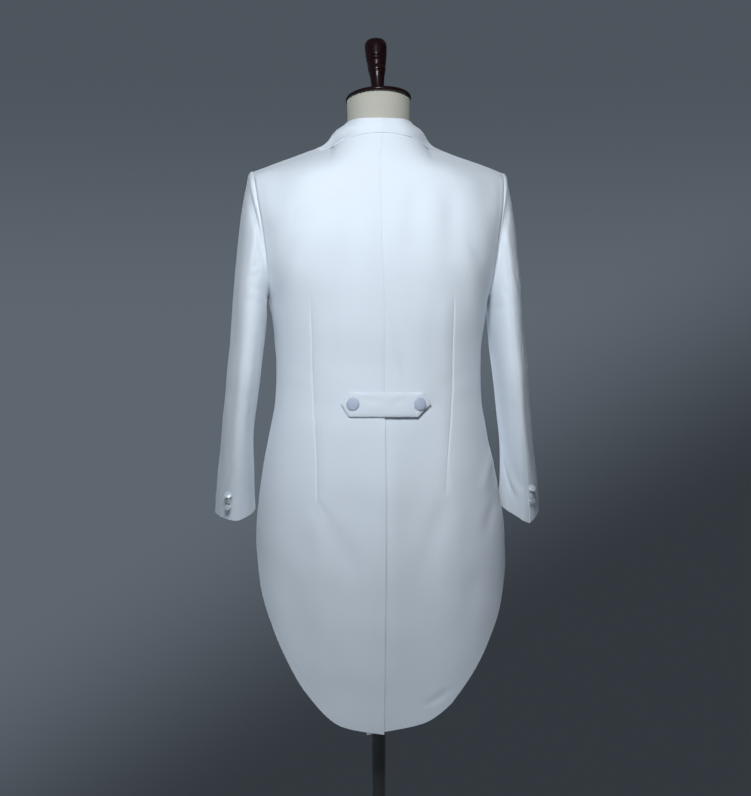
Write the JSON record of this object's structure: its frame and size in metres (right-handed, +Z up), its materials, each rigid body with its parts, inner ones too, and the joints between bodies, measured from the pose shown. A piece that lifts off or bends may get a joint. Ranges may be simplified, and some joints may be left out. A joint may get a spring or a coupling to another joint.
{
  "type": "tuxedo tailcoat on a dress form",
  "caption": "White tailcoat with peaked lapels, half belt, centre vent and curved tails, standing filled out on a limbless dress form with a turned knob, a pole and a round base.",
  "frame": {"origin": "centre of the underside of the round base, on the floor", "axes": "+Z up, -Y to the front of the coat, +X to the wearer's left"},
  "size_m": [0.5888, 0.36, 1.7051],
  "materials": {
    "suiting": "white woven suiting, matt",
    "button_satin": "satin-covered buttons, soft sheen",
    "linen": "cream linen over the form, matt",
    "lacquered_wood": "dark red-brown gloss lacquer",
    "painted_steel": "black satin paint"
  },
  "bodies": {
    "root": {"back_left": "suiting", "back_right": "suiting", "front_left": "suiting", "front_right": "suiting", "lapel_left": "suiting", "lapel_right": "suiting", "collar": "suiting", "sleeve_left_top": "suiting", "sleeve_left_under": "suiting", "sleeve_right_top": "suiting", "sleeve_right_under": "suiting", "back_belt": "suiting", "belt_button_left": "button_satin", "belt_button_right": "button_satin", "cuff_button_left_1": "button_satin", "cuff_button_left_2": "button_satin", "cuff_button_left_3": "button_satin", "cuff_button_right_1": "button_satin", "cuff_button_right_2": "button_satin", "cuff_button_right_3": "button_satin", "front_button": "button_satin", "form_body": "linen", "neck_cap": "lacquered_wood", "neck_knob": "lacquered_wood", "pole": "painted_steel", "base": "painted_steel"}
  },
  "joints": []
}
